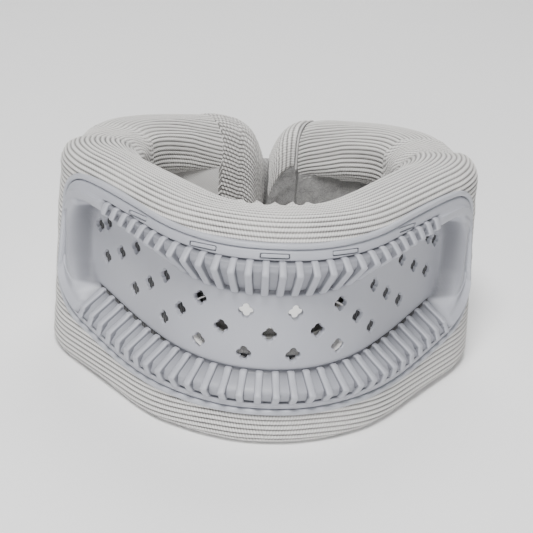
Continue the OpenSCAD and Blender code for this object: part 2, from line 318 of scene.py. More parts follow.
# ---- finishes ------------------------------------------------------------------------------------
class Val:
    """A shader value with arithmetic."""

    def __init__(self, mat, socket):
        self.mat, self.socket = mat, socket

    def _math(self, op, a, b):
        return self.mat.node("ShaderNodeMath", {"operation": op}, [a, b])

    def __add__(self, o): return self._math("ADD", self, o)
    def __radd__(self, o): return self._math("ADD", o, self)
    def __sub__(self, o): return self._math("SUBTRACT", self, o)
    def __rsub__(self, o): return self._math("SUBTRACT", o, self)
    def __mul__(self, o): return self._math("MULTIPLY", self, o)
    def __rmul__(self, o): return self._math("MULTIPLY", o, self)


class Finish:
    """One procedural material."""

    def __init__(self, name, colour, roughness, **fixed):
        self.material = bpy.data.materials.new(name)
        self.material.use_nodes = True
        self.material.diffuse_color = (*colour, 1)
        self.tree = self.material.node_tree
        self.shader = next(n for n in self.tree.nodes if n.type == "BSDF_PRINCIPLED")
        self.shader.inputs["Base Color"].default_value = (*colour, 1)
        self.shader.inputs["Roughness"].default_value = roughness
        for key, value in fixed.items():
            self.shader.inputs[key.replace("_", " ")].default_value = value

    def node(self, kind, settings, inputs, out=0):
        """A new node: its settings first, then its inputs by name or place."""
        made = self.tree.nodes.new(kind)
        for key, value in settings.items():
            setattr(made, key, value)
        pairs = inputs.items() if isinstance(inputs, dict) else enumerate(inputs)
        for key, value in pairs:
            if isinstance(value, Val):
                self.tree.links.new(value.socket, made.inputs[key])
            elif value is not None:
                made.inputs[key].default_value = value
        return Val(self, made.outputs[out])

    def feed(self, name, value):
        self.tree.links.new(value.socket, self.shader.inputs[name])
        return self

    def place(self):
        return self.node("ShaderNodeTexCoord", {}, {}, "Object")

    def noise(self, scale, detail=3.0, roughness=0.5):
        return self.node("ShaderNodeTexNoise", {"noise_dimensions": "3D"},
                         {"Vector": self.place(), "Scale": scale, "Detail": detail, "Roughness": roughness}, "Fac")

    def weave(self, part):
        xyz = self.node("ShaderNodeAttribute", {"attribute_name": "weave"}, {}, "Vector")
        return self.node("ShaderNodeSeparateXYZ", {}, [xyz], part)

    def sine(self, value):
        return self.node("ShaderNodeMath", {"operation": "SINE"}, [value])

    def mix(self, factor, a, b):
        return self.node("ShaderNodeMix", {"data_type": "RGBA"}, {0: factor, 6: a, 7: b}, 2)

    def bump(self, height, strength, distance):
        return self.node("ShaderNodeBump", {}, {"Strength": strength, "Distance": distance, "Height": height}, "Normal")


def rgb(r, g, b):
    return (r, g, b, 1.0)


def clamped(f, value, low, high):
    """Value stretched so that low gives 0 and high gives 1."""
    return f.node("ShaderNodeMapRange", {"clamp": True}, {0: value, 1: low, 2: high, 3: 0.0, 4: 1.0})


def knit_finish(name, light, dark, stitch=1.15, slant=0.55):
    """Ribbed knit: pale ridges, painted shade in the valleys, small slanted stitches along every rib."""
    f = Finish(name, light[:3], 0.92, Sheen_Weight=0.25, Sheen_Roughness=0.5, Specular_IOR_Level=0.2)
    along, across, ridge_part = f.weave("X"), f.weave("Y"), f.weave("Z")
    loops = f.sine(along * (2 * math.pi / stitch) + across * (2 * math.pi * slant))
    fuzz = f.noise(5200.0, 2.0)
    tone = f.noise(38.0, 3.0)
    # painted shade: the dark colour fills the rib valleys, set by the weave's Z
    depth = clamped(f, ridge_part + fuzz * 0.6 - 0.3 + loops * 0.14, 0.22, 1.0)
    colour = f.mix(depth, rgb(*dark), rgb(*light))
    aged = rgb(light[0] * 0.88, light[1] * 0.875, light[2] * 0.865)
    colour = f.mix(clamped(f, tone, 0.35, 0.75) * 0.35, colour, aged)
    # painted shadow: near-black where Z falls below zero, on the cover pushed in under the shell
    colour = f.mix(clamped(f, 0.0 - ridge_part, 0.1, 0.9), colour, rgb(0.02, 0.02, 0.022))
    f.feed("Base Color", colour)
    f.feed("Roughness", 0.84 + fuzz * 0.14)
    f.feed("Normal", f.bump(loops * 0.5 + fuzz * 0.7, 0.55, 0.00035))
    return f.material


def velvet_finish(name, light, dark):
    """Brushed loop pile: speckled, soft, no direction."""
    f = Finish(name, light[:3], 0.95, Sheen_Weight=0.45, Sheen_Roughness=0.4, Specular_IOR_Level=0.15)
    speck = f.noise(2300.0, 4.0, roughness=0.75)
    nap = f.noise(240.0, 4.0, roughness=0.65)
    pile = clamped(f, speck * 0.62 + nap * 0.38, 0.36, 0.64)
    f.feed("Base Color", f.mix(pile, rgb(*dark), rgb(*light)))
    f.feed("Roughness", 0.86 + speck * 0.12)
    f.feed("Normal", f.bump(pile, 0.9, 0.0006))
    return f.material


def woven_finish(name, light, dark, pitch, rough=0.85):
    """Plain twill or webbing: fine slanted threads over a crosswise set."""
    f = Finish(name, light[:3], rough, Sheen_Weight=0.2, Specular_IOR_Level=0.25)
    along, across = f.weave("X"), f.weave("Y")
    warp = f.sine((along + across) * (2 * math.pi / pitch))
    weft = f.sine((along - across * 0.6) * (2 * math.pi / (pitch * 0.8)))
    fuzz = f.noise(3800.0, 2.0)
    height = warp * 0.35 + weft * 0.22 + fuzz * 0.5
    f.feed("Base Color", f.mix(clamped(f, height, -0.25, 0.75), rgb(*dark), rgb(*light)))
    f.feed("Roughness", rough - 0.06 + fuzz * 0.12)
    f.feed("Normal", f.bump(height, 0.6, 0.0003))
    return f.material


def moulded_finish(name, light, dark, rough=0.42):
    """Satin moulded plastic: faint flow shading, fine grain, rubbed corners, and painted shade from the weave's Z."""
    f = Finish(name, light[:3], rough, Specular_IOR_Level=0.45)
    flow = f.noise(22.0, 3.0)
    grain = f.noise(2600.0, 2.0)
    dust = f.noise(420.0, 3.0, roughness=0.6)
    worn = clamped(f, f.node("ShaderNodeNewGeometry", {}, {}, "Pointiness"), 0.52, 0.60)
    colour = f.mix(clamped(f, flow, 0.3, 0.7) * 0.5, rgb(*light), rgb(*dark))
    colour = f.mix(clamped(f, dust, 0.62, 0.8) * 0.25, colour, rgb(dark[0] * 0.9, dark[1] * 0.9, dark[2] * 0.9))
    colour = f.mix(worn * 0.35, colour, rgb(min(1, light[0] * 1.25), min(1, light[1] * 1.25), min(1, light[2] * 1.22)))
    # painted shade: near-black by the weave's Z, in the slots, hollows and walls that the shell and rib pieces mark
    colour = f.mix(clamped(f, f.weave("Z"), 0.0, 1.0) * 0.85, colour, rgb(0.055, 0.057, 0.068))
    f.feed("Base Color", colour)
    f.feed("Roughness", rough - 0.05 + flow * 0.06 + grain * 0.08)
    f.feed("Normal", f.bump(grain * 0.6 + dust * 0.5, 0.16, 0.0002))
    return f.material


# the second colour of each knit is the painted shade of its rib valleys
KNIT = knit_finish("ribbed_knit", (0.78, 0.765, 0.745), (0.11, 0.107, 0.103))
CUFF_KNIT = knit_finish("cuff_knit", (0.76, 0.745, 0.73), (0.13, 0.126, 0.12), 1.5, 0.5)
SHELL = moulded_finish("shell_plastic", (0.385, 0.392, 0.432), (0.34, 0.348, 0.388))
RIM = moulded_finish("rim_plastic", (0.42, 0.43, 0.47), (0.37, 0.38, 0.42), 0.38)
TAB = moulded_finish("tab_plastic", (0.42, 0.43, 0.47), (0.37, 0.38, 0.42), 0.45)
PLATE = moulded_finish("plate_plastic", (0.72, 0.72, 0.70), (0.62, 0.62, 0.60), 0.5)
VELVET = velvet_finish("velvet", (0.52, 0.515, 0.505), (0.16, 0.158, 0.155))
DARK_VELVET = velvet_finish("end_velvet", (0.42, 0.415, 0.41), (0.12, 0.118, 0.115))
TWILL = woven_finish("twill", (0.70, 0.69, 0.675), (0.42, 0.41, 0.40), 0.8)
LINING = woven_finish("lining", (0.74, 0.73, 0.715), (0.50, 0.49, 0.48), 1.0, 0.9)
WEBBING = woven_finish("webbing", (0.50, 0.495, 0.49), (0.28, 0.275, 0.27), 1.7, 0.75)
HOOK = velvet_finish("hook_tape", (0.32, 0.32, 0.325), (0.12, 0.12, 0.125))
THREAD = woven_finish("thread", (0.62, 0.61, 0.60), (0.40, 0.39, 0.38), 0.5)


# ---- padded covers -------------------------------------------------------------------------------
RIBS = 108            # knit ribs round a section
PER_RIB = 6           # points to a rib
COARSE_ROWS, COARSE_COLS = 52, 54


def cover_corners(q, inset, recess):
    """Corners of the padding's section: inner foot, recess, inner and outer crown, outer foot."""
    t, zt, f = thick(q), top(q), flared(q)
    i = np.zeros_like(t) + inset
    low_in, low_out = base(q, 0.0), base(q, t)
    w = np.stack([i, i, i + recess, i + recess, i, i, t - i, t + f - i], 1)
    z = np.stack([low_in + 0.0 * i, low_in + 17, low_in + 20, zt - 25, zt - 21, zt - i, zt - i,
                  low_out + 0.0 * i], 1)
    r = np.stack([7 + 0 * i, 5 + 0 * i, 3 + 0 * i, 3 + 0 * i, 7 + 0 * i,
                  np.minimum(12, t * 0.48), np.minimum(10 + 0 * i, t * 0.46), 6 + 0 * i], 1)
    return np.stack([w, z], -1), r


def cover_rings(q, count, inset=0.0, recess=0.0, shift=0.0):
    corners, radii = cover_corners(q, inset, recess)
    wz = even(soft_ring(corners, radii), count, shift)
    return place(q[:, None], wz[..., 0], wz[..., 1]), wz


def swell(rings, pinned, cap, pressure=4.0):
    """Blows a closed loft of coarse rings up as cloth and gives each point's move, in the rings' units."""
    m, n = rings.shape[:2]
    world = seat(rings)
    piece = build("swelling", world, grid_faces(m, n, True, (True, True), flip=True), KNIT)
    group = piece.vertex_groups.new(name="held")
    for k in np.flatnonzero(pinned.reshape(-1)):
        group.add([int(k)], 1.0, "REPLACE")
    cloth = piece.modifiers.new("cloth", "CLOTH").settings
    cloth.quality = 6
    cloth.mass = 0.25
    cloth.tension_stiffness = cloth.compression_stiffness = 25
    cloth.shear_stiffness = 12
    cloth.bending_stiffness = 2.0
    cloth.vertex_group_mass = "held"
    cloth.use_pressure = True
    cloth.uniform_pressure_force = pressure
    cloth.effector_weights.gravity = 0
    scene = bpy.context.scene
    for step in range(1, 21):
        scene.frame_set(step)
    seen = piece.evaluated_get(bpy.context.evaluated_depsgraph_get())
    now = np.empty(len(seen.data.vertices) * 3, np.float32)
    seen.data.vertices.foreach_get("co", now)
    move = (now.reshape(world.shape) - world) * 1000
    scene.frame_set(1)
    bpy.data.objects.remove(piece)
    size = np.linalg.norm(move, axis=-1, keepdims=True)
    move *= np.minimum(1, cap / np.maximum(size, 1e-6))
    y, z = move[..., 1], move[..., 2]
    return np.stack([move[..., 0], y * COS - z * SIN, y * SIN + z * COS], -1)


def wander(grid, size, seed, scale):
    """Gentle unevenness that a hand-filled cover has."""
    local = np.random.default_rng(seed)
    coarse = local.normal(0, 1, (max(4, int(grid.shape[0] / scale)), max(4, int(grid.shape[1] / scale)), 1))
    at_rows = np.linspace(0, coarse.shape[0] - 1, grid.shape[0])
    at_cols = np.linspace(0, coarse.shape[1] - 1, grid.shape[1])
    return read_grid(coarse, at_rows, at_cols) * size


def rib_height(phase):
    """Rounded rib over each whole phase, with a narrow valley."""
    return np.abs(np.sin(math.pi * phase)) ** 0.8


def on_floor(points):
    """Keeps seated points on the resting plane."""
    points[..., 2] = np.maximum(points[..., 2], 0.0)
    return points


HALF_Q = np.concatenate([np.linspace(0, 2.70, 82), np.linspace(2.73, 3.45, 24),
                         np.linspace(3.49, CUFF - 0.012, 30)])
RING = RIBS * PER_RIB
LEFT_CUFF = HALF_Q[np.searchsorted(HALF_Q, 4.38)] + 0.004
recess_half = RECESS * smooth(3.14, 3.34, HALF_Q)
half_rings, half_wz = cover_rings(HALF_Q, RING, 0.0, recess_half)

coarse_rows = np.linspace(0, len(HALF_Q) - 1, COARSE_ROWS)
coarse_q = np.interp(coarse_rows, np.arange(len(HALF_Q)), HALF_Q)
coarse, coarse_wz = cover_rings(coarse_q, COARSE_COLS, 0.0, RECESS * smooth(3.14, 3.34, coarse_q))
tq = thick(coarse_q)[:, None]
behind_shell = ((coarse_q[:, None] < SHELL_END + 0.05) & (coarse_wz[..., 0] > tq * 0.75)
                & (coarse_wz[..., 1] < lip_up(coarse_q)[:, None] + 2)
                & (coarse_wz[..., 1] > lip_dn(coarse_q)[:, None] - 2))
in_recess = coarse_wz[..., 0] > RECESS * 0.6
in_recess &= (coarse_q[:, None] > 3.2) & (coarse_wz[..., 0] < tq * 0.6)
in_recess &= coarse_wz[..., 1] < top(coarse_q)[:, None] - 22
held = behind_shell | in_recess
held[0] = held[-1] = True
coarse_move = swell(coarse, held, 2.6)
wrapped = np.concatenate([coarse_move, coarse_move[:, :1]], 1)
half_move = read_grid(wrapped, np.linspace(0, COARSE_ROWS - 1, len(HALF_Q)),
                      np.linspace(0, COARSE_COLS, RING, endpoint=False))


def notch_push(q, wz):
    """How far the skin is pushed in under the shell."""
    z = wz[..., 1]
    t = thick(q)[:, None]
    up, dn = lip_up(q)[:, None] + 0.6, lip_dn(q)[:, None] - 0.6
    gate = smooth(-1.4, 0.0, up - z) * smooth(-1.4, 0.0, z - dn) * (wz[..., 0] > t * 0.7)
    gate *= 1 - smooth(SHELL_END - 0.02, SHELL_END + 0.05, q)[:, None]
    return gate * (3.4 + 2.3 * np.minimum(2.3, q)[:, None] + PANEL_WALL)


def outward(q):
    """Unit direction from the inner face to the outer face at station q."""
    (ox, oy, _), (nx, ny, _) = curve(OUTER, q), curve(INNER, q)
    d = np.stack([ox - nx, oy - ny, 0 * ox], -1)
    return d / np.linalg.norm(d, axis=-1, keepdims=True)


def half_cover(side, name):
    """One half of the ribbed cover, from the front middle to where the arm's end begins."""
    rows = HALF_Q < (CUFF if side > 0 else LEFT_CUFF)
    qs, wz = HALF_Q[rows], half_wz[rows]
    smooth_grid = (half_rings + half_move)[rows]
    push = notch_push(qs, wz)
    hold = push > 0.2
    smooth_grid = np.where(hold[..., None], half_rings[rows], smooth_grid)
    smooth_grid = smooth_grid - outward(qs)[:, None] * push[..., None]
    normal = normals_of(smooth_grid, True)
    inward = np.sum(normal * (smooth_grid - smooth_grid.mean(1, keepdims=True)), -1).mean() < 0
    normal = -normal if inward else normal
    seed = 11 if side > 0 else 23
    uneven = wander(smooth_grid, 0.35, seed, 9) * (1 - np.minimum(push, 1))[..., None]
    uneven *= smooth(0.0, 0.3, qs)[:, None, None]
    smooth_grid = smooth_grid + normal * uneven
    # gathered seam at the front of the inner crown
    x = smooth_grid[..., 0]
    inner_edge = np.exp(-((wz[..., 0] - 2.0) / 4.5) ** 2) * smooth(7, 2, top(qs)[:, None] - wz[..., 1])
    gather = (0.5 + 0.5 * np.cos(2 * math.pi * x / 6.4)) ** 1.4 * (1 - smooth(11, 17, np.abs(x)))
    lift = np.array([0, -0.2, 1.0])
    smooth_grid = smooth_grid + (inner_edge * (gather - 0.35) * 2.8)[..., None] * lift
    creases = np.sin(2 * math.pi * x / 1.6) * 0.22 * inner_edge * (1 - smooth(12, 24, np.abs(x)))
    phase = np.arange(RING) / PER_RIB
    rib = rib_height(phase)[None, :] * np.ones(len(qs))[:, None]
    shown = 0.62 * (1 - np.minimum(push, 1))
    grid = smooth_grid + normal * ((rib - 0.55) * shown + creases)[..., None]
    along = lengths_of(smooth_grid, 0)
    # Z sinks below zero where the skin is pushed under the shell, giving the knit's painted shadow there
    weave = np.stack([along, np.broadcast_to(phase, along.shape), rib - 2 * smooth(1.0, 3.0, push)], -1)
    grid[..., 0] *= side
    smooth_grid[..., 0] *= side
    q_mid = qs[:, None]
    centre_z = wz[..., 1]
    w = wz[..., 0]
    near_front = (np.abs(grid[..., 0]) < 27.5) & (q_mid < 1)
    window = near_front & (np.abs(centre_z - 1) < 10.6) & ((w < 4) | (w > thick(qs)[:, None] * 0.7))
    keep = ~(window | np.roll(window, -1, 1))
    world = on_floor(seat(grid))
    faces = grid_faces(len(qs), RING, True, (False, False), flip=side > 0, keep=keep)
    piece = build(name, world, faces, KNIT, weave)
    return piece, smooth_grid


right_knit, right_smooth = half_cover(1, "right_ribbed_cover")
left_knit, left_smooth = half_cover(-1, "left_ribbed_cover")


def blend_arm(piece, side, before=-7.0, after=12.0):
    """Bakes a piece's placement into its points; the stretch round the fold that it works out is not used."""
    x, y, h = (float(v) for v in curve(OUTER, np.array(FOLD)))
    d = np.array([math.cos(h), math.sin(h), 0.0])
    a, b = (np.array([x, y, 0.0]) + d * k for k in (before, after))
    a[0] *= side
    b[0] *= side
    arm = "right_arm" if side > 0 else "left_arm"
    tuple(seat(a))
    tuple(seat(b))
    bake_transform(piece)
    return piece


for piece, side in ((right_knit, 1), (left_knit, -1)):
    blend_arm(piece, side)
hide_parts("front_cover", "right_arm_cover", "right_arm_foam")
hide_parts("front_foam", "left_arm_cover", "left_arm_foam")


# ---- arm ends ------------------------------------------------------------------------------------
def tip_inset(q):
    """How far the section shrinks as the arm's tip rounds off."""
    t = np.clip((q - 4.76) / 0.235, 0, 0.995)
    return 6.5 * (1 - np.sqrt(1 - t * t))


def arm_end(side, name, finish, rib_size, diamonds):
    """The padded end of an arm, closed over its tip and folded in at its open edge."""
    first = (CUFF if side > 0 else LEFT_CUFF) - 0.005
    q = np.concatenate([np.linspace(first, 4.78, 16 if side > 0 else 26),
                        4.78 + 0.205 * np.sin(np.linspace(0.06, math.pi / 2, 22))])
    inset = tip_inset(q) - 0.5 * smooth(4.62, 4.7, q) * (1 - smooth(4.8, 4.95, q))
    rings, _ = cover_rings(q, RING, inset, 0.0)
    centre = rings.mean(1, keepdims=True)
    puff = 1.1 * np.sin(math.pi * np.clip((q - first) / (5.02 - first), 0, 1))[:, None, None] ** 0.6
    normal = normals_of(rings, True)
    if np.sum(normal * (rings - centre), -1).mean() < 0:
        normal = -normal
    rings = rings + normal * puff
    phase = np.arange(RING) / PER_RIB
    along = lengths_of(rings, 0)
    rib = rib_height(phase)[None, :] * np.ones(len(q))[:, None]
    if diamonds:
        cross = 0.5 + 0.5 * np.cos(2 * math.pi * (along / 1.7 + np.floor(phase)[None, :] * 0.5))
        rib = rib * (0.5 + 0.5 * cross ** 0.7)
    uneven = wander(rings, 0.3, 5 + side, 8)
    grid = rings + normal * ((rib - 0.5) * rib_size)[..., None] + normal * uneven
    fold_in = [centre[0] + (grid[0] - centre[0]) * k for k in (0.12, 0.4, 0.7, 0.9, 0.975)]
    close = [centre[-1] + (grid[-1] - centre[-1]) * k for k in (0.9, 0.7, 0.45, 0.2, 0.03)]
    tip_dir = place(np.array(5.0), 0, 0.0) - place(np.array(4.97), 0, 0.0)
    tip_dir = tip_dir / np.linalg.norm(tip_dir)
    close = [c + tip_dir * 0.25 * k for k, c in enumerate(close, 1)]
    grid = np.concatenate([np.array(fold_in), grid, np.array(close)])
    pad = lambda rows: np.concatenate([rows[:1]] * 5 + [rows] + [rows[-1:]] * 5)
    weave = np.stack([pad(along), np.broadcast_to(phase, grid.shape[:2]), pad(rib)], -1)
    grid[..., 0] = np.maximum(grid[..., 0], 0.55)
    grid[..., 0] *= side
    world = on_floor(seat(grid))
    faces = grid_faces(len(grid), RING, True, (False, True), flip=side > 0)
    piece = build(name, world, faces, finish, weave)
    body = "right_arm" if side > 0 else "left_arm"
    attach(piece, body)
    return piece, rings


left_cuff, _ = arm_end(-1, "left_knit_cuff", CUFF_KNIT, 0.75, True)
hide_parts("left_end_cuff")
right_end, end_rings = arm_end(1, "right_velvet_end", DARK_VELVET, 0.0, False)
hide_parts("right_end_cover")


# ---- laid-on patches: gussets and the strip over the right arm's end ------------------------------
def patch(name, surface, rows, cols, angle, pitch, finish, side, lift=0.35, size=0.45, density=(90, 160)):
    """A stretch insert lying on part of a cover, with ribs at its own angle."""
    r = np.linspace(rows[0], rows[1], density[0])
    c = np.linspace(cols[0], cols[1], density[1])
    flat = read_grid(surface, r, c)
    normal = normals_of(flat, False)
    centre = surface[int(np.mean(rows))].mean(0)
    if np.sum(normal * (flat - centre), -1).mean() < 0:
        normal = -normal
    a, b = lengths_of(flat, 0), lengths_of(flat, 1)
    phase = (a * math.cos(angle) + b * math.sin(angle)) / pitch
    rib = rib_height(phase)
    u = np.linspace(0, 1, density[0])[:, None]
    v = np.linspace(0, 1, density[1])[None, :]
    edge = np.minimum(np.minimum(u, 1 - u) * density[0] / 4, np.minimum(v, 1 - v) * density[1] / 5)
    edge = np.clip(edge, 0, 1) ** 0.5
    grid = flat + normal * (lift * edge - 0.45 * (1 - edge) + (rib - 0.5) * size * edge)[..., None]
    # Z = rib * edge, so the insert's valleys and border take the knit's painted valley shade
    weave = np.stack([a * math.sin(angle) - b * math.cos(angle), phase, rib * edge], -1)
    world = on_floor(seat(grid))
    return build(name, world, grid_faces(*density, flip=side > 0), finish, weave)


def row_at(table, q):
    """Fractional row of a station."""
    return float(np.interp(q, table, np.arange(len(table))))


def col_at(wz_row, w, z):
    """Column of a ring that lies nearest to a place in the section."""
    return int(np.argmin(np.hypot(wz_row[:, 0] - w, wz_row[:, 1] - z)))


mid_row = int(row_at(HALF_Q, 3.3))
zt_mid = float(top(np.array(3.3)))
inner_col = col_at(half_wz[mid_row], 0.0, zt_mid - 20)
outer_col = col_at(half_wz[mid_row], float(thick(np.array(3.3))), zt_mid - 30)
for side, surface, name in ((1, right_smooth, "right_stretch_gusset"), (-1, left_smooth, "left_stretch_gusset")):
    gusset = patch(name, surface, (row_at(HALF_Q, 3.06), row_at(HALF_Q, 3.40)), (inner_col, outer_col),
                   0.8 if side > 0 else 1.45, 2.0, KNIT, side)
    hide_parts("right_gusset" if side > 0 else "left_gusset")
    blend_arm(gusset, side)

STRIP_Q = np.array(4.7)
strip_section = cover_rings(STRIP_Q[None], RING)[1][0]
strip_in = col_at(strip_section, 0.0, float(top(STRIP_Q)) - 17)
strip_out = col_at(strip_section, float(thick(STRIP_Q)), float(top(STRIP_Q)) - 20)
strip = patch("right_roll_end", end_rings, (3.6, 32.0), (strip_in, strip_out), 0.0, 2.3, KNIT, 1,
              lift=0.5, size=0.5, density=(100, 120))
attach(strip, "right_arm")


# ---- flat cloth ----------------------------------------------------------------------------------
def cloth_panel(q, low, high, rows, depth, bulge, wrinkle, seed):
    """A cloth panel over stations q, between two height curves, at a given depth from the inner face."""
    v = np.linspace(0, 1, rows)
    z = low[:, None] * (1 - v) + high[:, None] * v
    belly = np.sin(math.pi * v)[None, :] ** 0.6 * bulge
    w = depth - belly + 0 * z
    grid = place(q[:, None], w, z)
    local = wander(grid, wrinkle, seed, 6)[..., 0]
    grid = grid - outward(q)[:, None] * local[..., None]
    return grid


def recess_cloth(side, name, finish, node, body):
    """The flat cloth stretched over the recess of an arm's inner face."""
    last = CUFF if side > 0 else LEFT_CUFF
    q = side * np.linspace(3.16, last + 0.02, 90)
    aq = np.abs(q)
    low, high = base(q, 0.0) + 15.5, top(q) - 20.5
    depth = RECESS - 0.9 - 6.5 * smooth(last - 0.5, last, aq)[:, None]
    grid = cloth_panel(q, low, high, 70, depth, 0.7, 0.18, 31 + side)
    weave = np.stack([lengths_of(grid, 0), lengths_of(grid, 1), 0 * aq[:, None] + np.zeros(70)], -1)
    world = seat(grid)
    piece = build(name, world, grid_faces(90, 70, flip=side < 0), finish, weave)
    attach(piece, body)
    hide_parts(node)
    return piece, grid


left_panel, _ = recess_cloth(-1, "left_twill_panel", TWILL, "left_recess_panel", "left_arm")
right_panel, right_panel_grid = recess_cloth(1, "right_velvet_panel", VELVET, "right_recess_panel", "right_arm")

# neck lining, with the window left open
lining_q = np.linspace(-2.9, 2.9, 181)
low, high = base(lining_q, 0.0) + 9, top(lining_q) - 11
lining_v = np.linspace(0, 1, 81)
z = low[:, None] * (1 - lining_v) + high[:, None] * lining_v
edge = np.clip(np.minimum(lining_v, 1 - lining_v) * 30, 0, 1)[None, :] ** 0.5
lining_grid = place(lining_q[:, None], -0.1 - 1.9 * edge + 0 * z, z)
hole = (np.abs(lining_grid[..., 0]) < 26) & (np.abs(z - 1) < 9.5)
weave = np.stack([lengths_of(lining_grid, 0), lengths_of(lining_grid, 1), 0 * z], -1)
lining = build("neck_lining_cloth", seat(lining_grid), grid_faces(181, 81, flip=False, keep=~hole), LINING, weave)
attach(lining, "front")
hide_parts("neck_lining")
lining_w = float(lengths_of(seat(lining_grid), 0)[-1, 40])
float(np.mean(high - low)) / 1000


def window_outline(grow, count=96):
    """Rounded outline of the window behind the middle vents."""
    t = np.arange(count) / count * 2 * math.pi
    c, s = np.cos(t), np.sin(t)
    squareness = 0.42
    return ((28 + grow) * np.sign(c) * np.abs(c) ** squareness,
            1 + (11 + grow) * np.sign(s) * np.abs(s) ** squareness)


wx, _ = window_outline(-0.6)
outer_y = np.interp(np.abs(wx), OUTER[:400, 0], OUTER[:400, 1])
inner_y = np.interp(np.abs(wx), INNER[:800, 0], INNER[:800, 1])
depths = [0.0, 0.05, 0.35, 0.65, 0.95, 1.0]
flares = [1.8, 0.0, -0.5, -0.5, 0.0, 1.8]
tunnel = []
for d, grow in zip(depths, flares):
    gx, gz = window_outline(-0.6 + grow)
    y = outer_y + 5.9 + (inner_y - 1.8 - outer_y - 5.9) * d
    tunnel.append(np.stack([gx, y, gz], 1))
tunnel = np.array(tunnel)
fine_tunnel = read_grid(tunnel, np.linspace(0, 5, 26), np.arange(96.0))
weave = np.stack([lengths_of(fine_tunnel, 1), lengths_of(fine_tunnel, 0), 0.7 + 0 * fine_tunnel[..., 0]], -1)
sleeve = build("window_sleeve", seat(fine_tunnel), grid_faces(26, 96, True), LINING, weave)
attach(sleeve, "front")


# ---- support shell -------------------------------------------------------------------------------
def local_frame(q):
    """Origin on the outer face, outward and along directions at station q."""
    x, y, h = curve(OUTER, q)
    side = np.where(q < 0, -1.0, 1.0)
    a = np.abs(h)
    out = np.stack([np.sin(a) * side, -np.cos(a), 0 * a], -1)
    run = np.stack([np.cos(a), np.sin(a) * side, 0 * a], -1)
    return np.stack([x, y, 0 * x], -1), out, run


def shell_section(q):
    """Profile of the shell from its upper lip to its lower lip: outward distance, height and painted shade."""
    a = np.abs(q)
    u, l, s, r, f = lip_up(q), lip_dn(q), sunk(q), ridge(q), flared(q) * 0.6
    h = (u - l) / 64
    ribbed_u = 1 - smooth(1.60, 1.67, a)   # where the upper and lower ridges carry ribs
    ribbed_l = 1 - smooth(1.88, 1.95, a)
    se = (3 + 2.3 * a) * (1 - smooth(1.9, 2.07, a))
    band = smooth(1.98, 2.14, a) * (1 - 0.6 * smooth(2.2, SHELL_END, a)) * r * 0.7
    fade = 1 - smooth(1.9, SHELL_END, a)
    z0 = 0 * a
    tight = 5.5 * smooth(0.3, 1.5, a)
    w = [
        0.2 + z0, 0.9 + z0, 1.1 + 0.2 * fade, 1.1 + 0.5 * fade,
        1.5 + (0.3 - 1.1 * ribbed_u) * fade, 1.6 + (0.5 - 1.9 * ribbed_u) * fade,
        2.0 + (r * 0.35 - 0.8 * ribbed_u) * fade, r - 1.9 * ribbed_u, r - 0.4 - 2.0 * ribbed_u,
        -se + 2.2 + (r - 2.6) * 0.4 * (1 - ribbed_u) - 0.8 * ribbed_u, -se + 1.6 - 2.6 * ribbed_u]
    # painted shade on the ribbed ridges, darkest in the slots between the rib bars
    shade = [z0] * 5 + [v * ribbed_u for v in (0.95, 0.5, 0.22, 0.22, 0.35, 0.9)]
    z = [u, u - 0.5 * h, u - 2 * h, u - 3.7 * h, u - 3.9 * h, u - 4.6 * h, u - 5.0 * h, u - 7.6 * h, u - 8.8 * h,
         u - (16.4 - tight) * h, u - (17.6 - tight) * h]
    for g in (0, 0.02, 0.06, 0.14, 0.28, 0.42, 0.58, 0.72, 0.86, 0.94, 0.98, 1):
        shift = 0.13 * abs(2 * g - 1) ** 3
        deep = (3 + 2.3 * a) * (1 - smooth(2.03 - shift, 2.2 - shift, a))
        groove = 0.9 * (ribbed_u if g == 0 else ribbed_l if g == 1 else 0)
        # painted shade on the sunk wall at the panel's ends and along the floor's edges
        wall = smooth(1.99 - shift, 2.07 - shift, a) * (1 - smooth(2.09 - shift, 2.25 - shift, a))
        edge = max(0.0, 1 - min(g, 1 - g) * 30)
        shade.append(np.maximum(0.8 * wall, edge * 0.8 * (ribbed_u if g < 0.5 else ribbed_l)))
        w.append(-deep + 0.2 + band - groove)
        z.append((u - (18.6 - tight) * h) * (1 - g) + (l + 14.3 * h) * g)
    shade += [v * ribbed_l for v in (0.9, 0.5, 0.25, 0.22, 0.5, 0.95, 0.9)] + [z0, z0, z0]
    w += [-se + 1.2 - 1.9 * ribbed_l, -se + 1.8 - 0.9 * ribbed_l, r - 0.3 - 2.0 * ribbed_l,
          r - 1.9 * ribbed_l, 2.2 + f + (r * 0.2) * fade - 0.8 * ribbed_l, 1.3 + f - 1.3 * ribbed_l * fade,
          1.2 + f - 1.0 * ribbed_l * fade, 1.5 + f * fade, 0.9 + f, 0.2 + f]
    z += [l + 12.9 * h, l + 12.2 * h, l + 8.4 * h, l + 7.2 * h, l + 4.0 * h, l + 3.6 * h,
          l + 2.9 * h, l + 2.6 * h, l + 0.5 * h, l]
    front = np.stack([np.stack(w, 1), np.stack(z, 1), np.stack(shade, 1)], -1)
    # soften corners a little, then spread the panel
    a0, a1 = front[:, :-1] * 0.78 + front[:, 1:] * 0.22, front[:, :-1] * 0.22 + front[:, 1:] * 0.78
    cut = np.stack([a0, a1], 2).reshape(len(q), -1, 3)
    front = np.concatenate([front[:, :1], cut, front[:, -1:]], 1)
    back_w = np.stack([-2.0 + f, -s - PANEL_WALL, -s - PANEL_WALL, -2.0 + z0], 1)
    back_z = np.stack([l, l + 11 * h, u - 15 * h, u], 1)
    return front, np.stack([back_w, back_z, 0 * back_w], -1)


